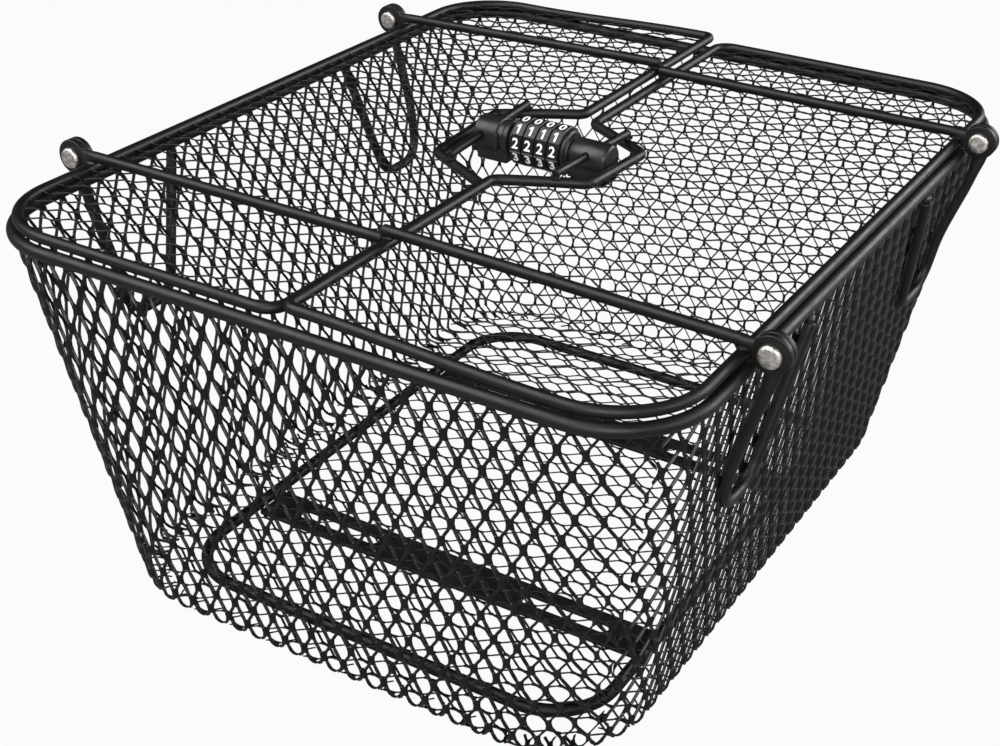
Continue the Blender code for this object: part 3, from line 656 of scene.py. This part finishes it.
def make_walls():
    # name, degrees round each corner, pitch, middle of a joint, strand widths, tilt
    walls = (("front", 55, 10.83, -4.4, (1.5, 2.1), -44),
             ("right", 35, 12.1, 0.0, (1.4, 1.9), 46),
             ("back", 55, 10.83, 0.0, (1.1, 1.55), 50),
             ("left", 35, 12.1, 0.0, (1.35, 1.85), 36))
    for quarter, (name, seam, pitch, middle, strand, tilt) in enumerate(walls):
        outline = wall_outline(quarter, math.radians(seam), -2.6 * MM, RIM_Z, 12)
        mesh = expanded("wall_" + name, outline, wall_place(quarter), pitch=pitch, period=21.6,
                        strand=strand, tilt=tilt, thick=0.7, joint=2.5, origin=(middle, 100))
        nodes = ["wall_net_" + name]
        if quarter % 2 == 0:
            nodes += ["wall_net_%s_left" % name, "wall_net_%s_right" % name]
        add("mesh_wall_" + name, mesh, "basket", MESH, nodes, angle=50)


def make_floor():
    inset = 0.0005
    outline = rounded_rectangle(*[size - inset for size in FLOOR_HALF], 16)
    outline = [(y, x) for x, y in outline]

    def place(u, v, n):
        return np.stack([v, u, FLOOR_Z + NET_HALF_THICK + n], 1)

    mesh = expanded("floor", outline, place, pitch=10.85, period=21.3, strand=(1.4, 1.9),
                    tilt=-34, thick=0.72, joint=2.7, flip=True, curve=(0.3, 1.3))
    add("mesh_floor", mesh, "basket", MESH, ["floor_net"], angle=50)


# Lids
def ease(t):
    """A soft step from 0 to 1, of one value or an array."""
    t = np.clip(t, 0, 1)
    return t * t * (3 - 2 * t)


def lid_height(x, y, side):
    raised = 1 - np.clip((side * y + BAY_HALF_Y) / (2 * BAY_HALF_Y), 0, 1)
    reach = (side * x - SEAM_X) / ((LID_HALF_X - SEAM_X) * LIFT_END_SHARE)
    return LID_Z + LID_LIFT * raised * (1 - ease(reach))


def on_lid(x, y, side, above=0.0):
    """A point above the middle line of a lid's wire."""
    return Vector((x, y, float(lid_height(x, y, side)) + above))


def lid_outline(inset, side, steps):
    slant = math.atan2(BAY_HALF_X - SEAM_X, BAY_MOUTH - BAY_HALF_Y)
    shift = inset * math.tan(slant / 2)
    near, far, end = SEAM_X + inset, LID_HALF_X - inset, LID_HALF_Y - inset
    corners = [(near, -end), (far, -end), (far, end), (near, end), (near, BAY_MOUTH + shift),
               (BAY_HALF_X + inset, BAY_HALF_Y + shift), (BAY_HALF_X + inset, -BAY_HALF_Y - shift),
               (near, -BAY_MOUTH - shift)]
    radii = [LIFTED_CORNER - inset, LID_CORNER - inset, LID_CORNER - inset, LOW_CORNER - inset,
             BAY_CORNER - inset, BAY_CORNER + inset, BAY_CORNER + inset, BAY_CORNER - inset]
    radii = [max(r, GAP) for r in radii]
    counts = [steps // 2, steps, steps, steps // 2] + [max(2, steps // 3)] * 4
    path = rounded_path([(x, y, 0) for x, y in corners], radii, counts)
    return [(side * p.x, side * p.y) for p in path]


def lid_name(side):
    return "right" if side > 0 else "left"


def end_name(end):
    return "front" if end < 0 else "back"


def make_lid(side):
    name = lid_name(side)
    plan = split_long([(x, y, 0) for x, y in lid_outline(0.0, side, 20)], 0.006)
    points = [on_lid(p.x, p.y, side) for p in plan]
    add(name + "_lid_wire", sweep(points, LID_RADIUS, Z, closed=True), name + "_lid", WIRE,
        [name + "_lid_frame"])
    outline = [(y, x) for x, y in lid_outline(0.0008, side, 16)]

    def place(u, v, n):
        return np.stack([v, u, lid_height(v, u, side) + n], 1)

    mesh = expanded(name + "_lid", outline, place, pitch=10.0, period=21.0, strand=(1.25, 1.8),
                    tilt=-36, thick=0.62, joint=2.4, flip=True)
    add(name + "_lid_mesh", mesh, name + "_lid", MESH, [name + "_lid_net"], angle=50)
    for end in (-1, 1):
        make_lid_bar(side, end)
    make_lock_bar(side)


def eye(side, low_y):
    """The flattened round eye of a wire at a hinge, rounded at its edges."""
    e = 0.0006
    inner = 0.0027
    turns = [math.radians(turn) for turn in (0, 30, 60, 90)]
    high_y = low_y + EYE_THICK
    profile = [(low_y, inner)]
    profile += [(low_y + e - e * math.cos(a), EYE_RADIUS - e + e * math.sin(a)) for a in turns]
    profile += [(high_y - e + e * math.sin(a), EYE_RADIUS - e + e * math.cos(a)) for a in turns]
    profile.append((high_y, inner))
    return lathe(profile, "Y", Vector((side * HINGE_X, 0, HINGE_Z)), sides=56)


def flattened(t, widening):
    """Half sizes of a bar or loop wire at share t of the way to its flat eye."""
    return (BAR_RADIUS - 0.0011 * t, BAR_RADIUS + widening * t)


def make_lid_bar(side, end):
    bar_start, bar_end = 0.0008, 0.1558
    eye_start, eye_end = 0.1575, 0.17
    bend_start, bend_length = 0.1595, 0.0085
    eye_rise = 0.0006
    eye_low = end * HINGE_Y - GAP / 2 - EYE_THICK
    y = eye_low + EYE_THICK / 2
    rest = LID_RADIUS + BAR_RADIUS + GAP
    outer_z = on_lid(side * LID_HALF_X, y, side, rest).z
    inner_z = on_lid(side * SEAM_X, y, side, rest).z
    slope = (outer_z - inner_z) / (LID_HALF_X - SEAM_X)
    xs = [bar_start + (bar_end - bar_start) * i / 24 for i in range(25)]
    xs += [eye_start + (eye_end - eye_start) * i / 12 for i in range(13)]
    points, sizes = [], []
    for x in xs:
        t = ease((x - bend_start) / bend_length)
        z = inner_z + slope * (x - SEAM_X)
        points.append((side * x, y, z + (HINGE_Z + eye_rise - z) * t))
        sizes.append(flattened(t, 0.0017))
    body = join([sweep(points, sizes, Z, end_round=0.35, power=2.1), eye(side, eye_low)])
    lid = lid_name(side) + "_lid"
    name = lid + "_bar_" + end_name(end)
    add(name + "_wire", body, lid, WIRE, [name])
    spots = [on_lid(side * x, y, side, 0.0026) for x in (LID_HALF_X, SEAM_X)]
    blobs = [weld(spot, (0.0031, 0.0030, 0.0011), 2 * i + end + side)
             for i, spot in enumerate(spots)]
    add(name + "_welds", join(blobs), lid, WIRE)


def make_lock_bar(side):
    share = (LOCK_BAR_X - SEAM_X) / (BAY_HALF_X - SEAM_X)
    reach = BAY_MOUTH + (BAY_HALF_Y - BAY_MOUTH) * share + 0.0012
    rest = LID_RADIUS + LOCK_BAR_RADIUS + GAP
    ends = [on_lid(side * LOCK_BAR_X, end * reach, side, rest) for end in (-1, 1)]
    points = split_long(ends, 0.006, closed=False)
    lid = lid_name(side) + "_lid"
    name = lid_name(side) + "_lock_bar"
    add(name + "_wire", sweep(points, LOCK_BAR_RADIUS, Z, end_round=0.3), lid, WIRE,
        [name])
    blobs = [weld(spot - Z * 0.0021, (0.0026, 0.0026, 0.0009), 7 + i + side)
             for i, spot in enumerate(ends)]
    add(name + "_welds", join(blobs), lid, WIRE)


# Rim, ring, plates, loops
def make_wires():
    for name, node, half, z, radius, steps in (
            ("rim", "rim_wire", RIM_HALF, RIM_Z, RIM_RADIUS, 24),
            ("ring", "base_ring", BASE_HALF, BASE_RADIUS, BASE_RADIUS, 20)):
        points = split_long([(x, y, z) for x, y in rounded_rectangle(*half, steps)], 0.012)
        add(name, sweep(points, radius, Z, closed=True, sides=24), "basket", WIRE,
            [node])


def slot_points(cx, cy, length, width, steps=12):
    points = []
    for side in (1, -1):
        for step in range(steps + 1):
            a = -math.pi / 2 + math.pi * step / steps
            points.append((cx + side * ((length - width) / 2 + width / 2 * math.cos(a)),
                           cy + side * (width / 2 * math.sin(a))))
    return points


def flat_plate(outlines, thick, edge):
    """A flat plate with holes and rounded edges: the first outline is its rim."""
    curve = bpy.data.curves.new("plate", "CURVE")
    curve.dimensions = "2D"
    curve.fill_mode = "BOTH"
    curve.extrude = thick / 2 - edge
    curve.bevel_depth = edge
    curve.bevel_resolution = 2
    curve.offset = -edge
    for outline in outlines:
        spline = curve.splines.new("POLY")
        spline.points.add(len(outline) - 1)
        for p, (x, y) in zip(spline.points, outline):
            p.co = (x, y, 0, 1)
        spline.use_cyclic_u = True
    body = bmesh.new()
    body.from_mesh(shown_mesh(link("plate", curve)))
    bmesh.ops.remove_doubles(body, verts=body.verts, dist=1e-6)
    bmesh.ops.translate(body, verts=body.verts, vec=(0, 0, thick / 2))
    return body


def make_plates():
    half = BASE_HALF[0] - BASE_RADIUS - GAP
    for end in (-1, 1):
        cy = end * PLATE_OFFSET_Y
        rim = [(x, y + cy) for x, y in rounded_rectangle(half, PLATE_HALF_WIDTH, 0.0012, 4)]
        slots = [slot_points(side * SLOT_X, cy, SLOT_LENGTH, SLOT_WIDTH)[::-1] for side in (-1, 1)]
        add("plate_" + end_name(end), flat_plate([rim] + slots, PLATE_THICK, 0.0004), "basket",
            PLATE, ["mounting_plate_" + end_name(end)])


def loop_wall_x(z):
    """How far out a loop's wire lies against the wall."""
    return wall_section(z)[0] + NET_HALF_THICK + GAP + LOOP_RADIUS


def loop_leg_x(z):
    """How far out the leg with the hinge's eye lies: it leaves the wall toward the hinge."""
    bend_drop = 0.060
    root, shoulder = HINGE_Z - LOOP_ROOT_DROP, HINGE_Z - bend_drop
    return loop_wall_x(z) + (HINGE_X - loop_wall_x(root)) * ease((z - shoulder) / (root - shoulder))


def make_side_loop(side, end):
    bottom_length = 0.030
    corner = 0.0135
    eye_low = end * HINGE_Y + GAP / 2
    leg_y = eye_low + EYE_THICK / 2
    bottom = HINGE_Z - LOOP_DEPTH + LOOP_RADIUS
    tip_y = end * LOOP_INNER_Y
    tip_z = RIM_Z - RIM_RADIUS - LOOP_RADIUS - GAP
    flat = [(leg_y, HINGE_Z - 0.005, 0), (leg_y, HINGE_Z - LOOP_SHOULDER_DROP, 0),
            (leg_y - end * LOOP_LEG_SHIFT, bottom, 0),
            (end * (HINGE_Y - LOOP_LEG_SHIFT - bottom_length), bottom, 0), (tip_y, tip_z, 0)]
    path = rounded_path(flat, [0, 0.03, corner, corner, 0], [1, 6, 16, 16, 1], closed=False)
    points, sizes = [], []
    for p in split_long(path, 0.003, closed=False):
        y, z = p.x, p.y
        beside = (y - leg_y) * end
        t = ease((z - (HINGE_Z - 0.019)) / 0.0125) if beside > -0.004 else 0.0
        points.append((side * (loop_leg_x(z) if beside > -0.02 else loop_wall_x(z)), y, z))
        sizes.append(flattened(t, 0.0012))
    body = join([sweep(points, sizes, X, end_round=0.35, power=2.1), eye(side, eye_low)])
    place = end_name(end) + "_" + lid_name(side)
    add("loop_" + place, body, "basket", WIRE, ["side_loop_" + place])
    blob = weld((side * (loop_wall_x(tip_z) - 0.0005), tip_y, tip_z + 0.0024),
                (0.0022, 0.0034, 0.0016), side + 2 * end)
    add("loop_%s_weld" % place, blob, "basket", WIRE)


def make_rivet(side, end):
    half_stack = EYE_THICK + GAP / 2 + GAP
    face, back = end * HINGE_Y - half_stack, end * HINGE_Y + half_stack
    head = 0.0049
    # low dome of the head, its rim, the shank and the pressed tail
    profile = [(face - 0.00218, 0), (face - 0.00222, 0.0008), (face - 0.00228, 0.0018),
               (face - 0.00226, 0.0030), (face - 0.00215, 0.0039), (face - 0.0018, 0.0045),
               (face - 0.0013, 0.0048), (face - 0.0008, head), (face - 0.0003, head),
               (face, head - 0.0002),
               (face, SHANK_RADIUS), (back, SHANK_RADIUS),
               (back, 0.0037), (back + 0.0003, 0.0039), (back + 0.0009, 0.0038),
               (back + 0.0014, 0.0030), (back + 0.0016, 0.0020), (back + 0.0012, 0.0009),
               (back + 0.0010, 0)]

    def wobble(a, along):
        return 1 + 0.006 * math.sin(3 * a + side + 2 * end) + 0.004 * math.sin(7 * a + 400 * along)

    body = lathe(profile, "Y", Vector((side * HINGE_X, 0, HINGE_Z)), sides=56, wobble=wobble)
    place = end_name(end) + "_" + lid_name(side)
    add("rivet_" + place, body, "basket", STEEL, ["hinge_rivet_" + place], angle=35)


# Lock
def make_head():
    z = LOCK_Z
    end = CORE_LEFT - 0.0004
    bore_depth = 0.0125
    # outer end, neck, ring beside the dials, and the bolt's bore from its mouth inward
    barrel = [(-0.0328, 0.0064, 2.3), (-0.0325, 0.0078, 2.3), (-0.0317, 0.0085, 2.3),
              (-0.0203, 0.0086, 2.3), (-0.0199, 0.0083, 2.2),
              (-0.0197, 0.0079, 2.1), (-0.0172, 0.0079, 2),
              (-0.0169, 0.0086, 2), (-0.0165, 0.0089, 2), (end - 0.0005, 0.0089, 2),
              (end, 0.0084, 2),
              (end, BORE_RADIUS, 2), (end - bore_depth, BORE_RADIUS, 2)]
    block = rounded_box((-0.0312, -0.0066, z - 0.0113), (end - 0.0008, 0.0068, z - 0.0040),
                        0.0010, 4)
    pad = rounded_box((-0.0204, -0.0091, z - 0.0048), (-0.0186, -0.0040, z + 0.0036), 0.0007)
    add("lock_head_case", join([lock_shell(barrel), block, pad]), "left_lid", CASE,
        ["lock_head"], angle=38)


def make_body():
    z = LOCK_Z
    r = DIALS_RIGHT
    bore_end = CORE_LEFT + BOLT_LENGTH + 0.0008
    # bore from its inner end to its mouth, collar, core under the dials, shoulder, step
    core = [(bore_end, BORE_RADIUS, 2), (CORE_LEFT, BORE_RADIUS, 2),
            (CORE_LEFT, 0.0070, 2), (CORE_LEFT + 0.0004, 0.0078, 2),
            (DIALS_LEFT - 0.0008, 0.0082, 2), (DIALS_LEFT - 0.0004, 0.0080, 2),
            (DIALS_LEFT - 0.0003, CORE_RADIUS, 2), (r, CORE_RADIUS, 2),
            (r, 0.0096, 2), (r + 0.0004, 0.0101, 2), (r + 0.0013, 0.0101, 2),
            (r + 0.0017, 0.0097, 2),
            (r + 0.0019, 0.0088, 2), (r + 0.0030, 0.0086, 2), (r + 0.0033, 0.0060, 2)]
    block = rounded_box((r + 0.0024, -0.0062, z - 0.0100), (0.0370, 0.0066, z + 0.0005), 0.0008)
    foot = rounded_box((r + 0.0036, -0.0072, z - 0.0112), (0.0378, 0.0074, z - 0.0104), 0.0003)
    add("lock_body_case", join([lock_shell(core), block, foot]), "right_lid", CASE,
        ["lock_body"], angle=38)
    # groove, then the smooth barrel to its rounded end
    barrel = [(r + 0.0028, 0.0070, 2), (r + 0.0040, 0.0070, 2), (r + 0.0041, 0.0075, 2),
              (r + 0.0044, 0.0077, 2), (0.0368, 0.0077, 2), (0.0376, 0.0074, 2),
              (0.0382, 0.0067, 2), (0.0385, 0.0056, 2)]
    add("lock_barrel", lock_shell(barrel), "right_lid", BARREL, angle=38)


def digit_mesh(digit):
    """A raised digit, thickened, and a 1 with a short flag on its stem."""
    raised = 0.00005
    curve = bpy.data.curves.new("digit", "FONT")
    curve.body = str(digit)
    curve.size = DIGIT_SIZE
    curve.align_x = "CENTER"
    curve.align_y = "CENTER"
    curve.extrude = raised
    curve.offset = 0.00016
    curve.resolution_u = 4
    mesh = shown_mesh(link("digit", curve))
    if digit == 1:
        top = max(v.co.y for v in mesh.vertices)
        body = bmesh.new()
        body.from_mesh(mesh)
        flag = [(-0.0014, top - 0.0017), (-0.0014, top - 0.0008), (-0.0001, top),
                (-0.0001, top - 0.0010)]
        prism(body, flag, -raised, raised)
        body.to_mesh(mesh)
        body.free()
    return mesh


def dial_radius(angle):
    """Radius of a dial's ten flats with worn edges; angle runs from -Y toward +Z."""
    off = (angle - ZERO_ANGLE + FACE_TURN / 2) % FACE_TURN - FACE_TURN / 2
    edge = abs(abs(off) - FACE_TURN / 2)
    worn = 0.0005 * max(0.0, 1 - edge / math.radians(1.9))
    return min(DIAL_FLAT / math.cos(off), DIAL_ROUND) - worn


def dial_wheel(centre):
    half = DIAL_HALF_WIDTH
    # along the axis, share of the outer radius; no share is the bore
    profile = [(-half, None), (-half, 0.92), (-half + 0.00018, 0.975), (-half + 0.0004, 1.0),
               (half - 0.0004, 1.0), (half - 0.00018, 0.975), (half, 0.92), (half, None)]
    body = bmesh.new()
    rings = []
    for along, share in profile:
        ring = []
        for i in range(DIAL_SIDES):
            a = 2 * math.pi * i / DIAL_SIDES + ZERO_ANGLE
            r = DIAL_BORE if share is None else dial_radius(a) * share
            spot = Vector((along, -r * math.cos(a), r * math.sin(a)))
            ring.append(body.verts.new(centre + spot))
        rings.append(ring)
    skin(body, rings, closed=True)
    return body


def dial_numbers(centre):
    """The digits 0 to 9, one on each flat of a dial."""
    body = bmesh.new()
    for digit in range(10):
        a = ZERO_ANGLE - digit * FACE_TURN
        outward = Vector((0, -math.cos(a), math.sin(a)))
        up = Vector((0, math.sin(a), math.cos(a)))
        seat = Matrix((X, up, outward)).transposed().to_4x4()
        seat.translation = centre + outward * (DIAL_FLAT + 0.00003)
        mesh = digit_mesh(digit)
        mesh.transform(seat)
        body.from_mesh(mesh)
        bpy.data.meshes.remove(mesh)
    bmesh.ops.remove_doubles(body, verts=body.verts, dist=1e-7)
    return body


def make_dials():
    for index in range(4):
        centre = Vector((DIALS_LEFT + (index + 0.5) * DIAL_PITCH, 0, LOCK_Z))
        name = "dial_%d" % (index + 1)
        add(name + "_wheel", dial_wheel(centre), name, DIAL, ["lock_" + name],
            angle=30)
        add(name + "_numbers", dial_numbers(centre), name, DIGIT, smooth=False)


def make_pin():
    tip = CORE_LEFT + GAP
    profile = [(tip, 0), (tip, 0.0015), (tip + 0.0003, 0.0020), (tip + 0.0008, BOLT_RADIUS),
               (tip + BOLT_LENGTH, BOLT_RADIUS), (tip + BOLT_LENGTH, 0)]
    add("lock_bolt", lathe(profile, "X", Vector((0, 0, LOCK_Z)), sides=32), "pin", PIN,
        ["lock_pin"], angle=35)


make_walls()
make_floor()
for side in (-1, 1):
    make_lid(side)
make_wires()
make_plates()
for side in (-1, 1):
    for end in (-1, 1):
        make_side_loop(side, end)
        make_rivet(side, end)
make_head()
make_body()
make_dials()
make_pin()


# Stage, light, camera
def seen_directly(tree):
    """1 for rays from the camera or through a clear surface, and 0 for all others."""
    path = tree.nodes.new("ShaderNodeLightPath")
    seen = tree.nodes.new("ShaderNodeMath")
    seen.operation = "MAXIMUM"
    tree.links.new(path.outputs["Is Camera Ray"], seen.inputs[0])
    tree.links.new(path.outputs["Is Transmission Ray"], seen.inputs[1])
    return seen.outputs[0]


def make_floor_plane():
    """A floor that looks nearly white and still takes a soft shadow."""
    mesh = bpy.data.meshes.new("floor_plane")
    half = 6.0
    corners = [(-half, -half, 0), (half, -half, 0), (half, half, 0), (-half, half, 0)]
    mesh.from_pydata(corners, [], [(0, 1, 2, 3)])
    floor = link("studio_floor", mesh)
    floor.location.z = -0.0004
    m = bpy.data.materials.new("studio_floor")
    m.use_nodes = True
    tree = m.node_tree
    tree.nodes.clear()
    out = tree.nodes.new("ShaderNodeOutputMaterial")
    diffuse = tree.nodes.new("ShaderNodeBsdfDiffuse")
    diffuse.inputs["Color"].default_value = (0.25, 0.25, 0.25, 1)
    glow = tree.nodes.new("ShaderNodeEmission")
    glow.inputs["Strength"].default_value = 1.0
    share = tree.nodes.new("ShaderNodeMath")
    share.operation = "MULTIPLY"
    share.inputs[1].default_value = 0.95
    tree.links.new(seen_directly(tree), share.inputs[0])
    mix = tree.nodes.new("ShaderNodeMixShader")
    tree.links.new(share.outputs[0], mix.inputs[0])
    tree.links.new(diffuse.outputs[0], mix.inputs[1])
    tree.links.new(glow.outputs[0], mix.inputs[2])
    tree.links.new(mix.outputs[0], out.inputs["Surface"])
    mesh.materials.append(m)


def make_world():
    """White behind everything, which lights the object only faintly."""
    world = bpy.data.worlds.new("studio")
    bpy.context.scene.world = world
    world.use_nodes = True
    tree = world.node_tree
    back = tree.nodes["Background"]
    back.inputs["Color"].default_value = (1, 1, 1, 1)
    level = tree.nodes.new("ShaderNodeMapRange")
    level.inputs["To Min"].default_value = AMBIENT
    level.inputs["To Max"].default_value = 1.0
    tree.links.new(seen_directly(tree), level.inputs["Value"])
    tree.links.new(level.outputs["Result"], back.inputs["Strength"])


def area_light(name, place, target, size, power):
    lamp = bpy.data.lights.new(name, "AREA")
    lamp.shape = "RECTANGLE"
    lamp.size, lamp.size_y = size
    lamp.energy = power
    holder = link(name, lamp)
    holder.location = place
    holder.rotation_mode = "QUATERNION"
    holder.rotation_quaternion = (Vector(place) - Vector(target)).to_track_quat("Z", "Y")


def make_camera():
    """The photograph's camera, fitted to the basket's corners, hinges and base."""
    az, el, roll = (math.radians(v) for v in (30.44, 29.45, 1.31))
    back = Vector((math.sin(az) * math.cos(el), -math.cos(az) * math.cos(el), math.sin(el)))
    right = Vector((math.cos(az), math.sin(az), 0))
    up = Vector((-math.sin(az) * math.sin(el), math.cos(az) * math.sin(el), math.cos(el)))
    rolled_right = right * math.cos(roll) + up * math.sin(roll)
    rolled_up = up * math.cos(roll) - right * math.sin(roll)
    data = bpy.data.cameras.new("camera")
    data.sensor_width = 36.0
    data.lens = 58.19
    data.shift_x = -0.0091
    data.shift_y = 0.0006
    data.clip_start = 0.01
    data.clip_end = 100.0
    camera = link("camera", data)
    placing = Matrix((rolled_right, rolled_up, back)).transposed().to_4x4()
    placing.translation = Vector((0.3532, -0.6254, 0.4797))
    camera.matrix_world = placing
    bpy.context.scene.camera = camera


make_floor_plane()
make_world()
area_light("key", (-0.9, -0.9, 1.5), (0, 0, 0.15), (1.6, 1.6), 42.0)
area_light("front_light", (0.7, -1.5, 0.9), (0, 0, 0.1), (1.2, 0.9), 24.0)
area_light("rim_light", (1.0, 1.2, 0.7), (0, 0, 0.12), (1.3, 0.8), 22.0)
area_light("side_light", (1.7, -0.1, 0.9), (0.15, 0, 0.1), (0.6, 0.6), 9.0)
make_camera()
bpy.context.scene.view_settings.view_transform = "Standard"
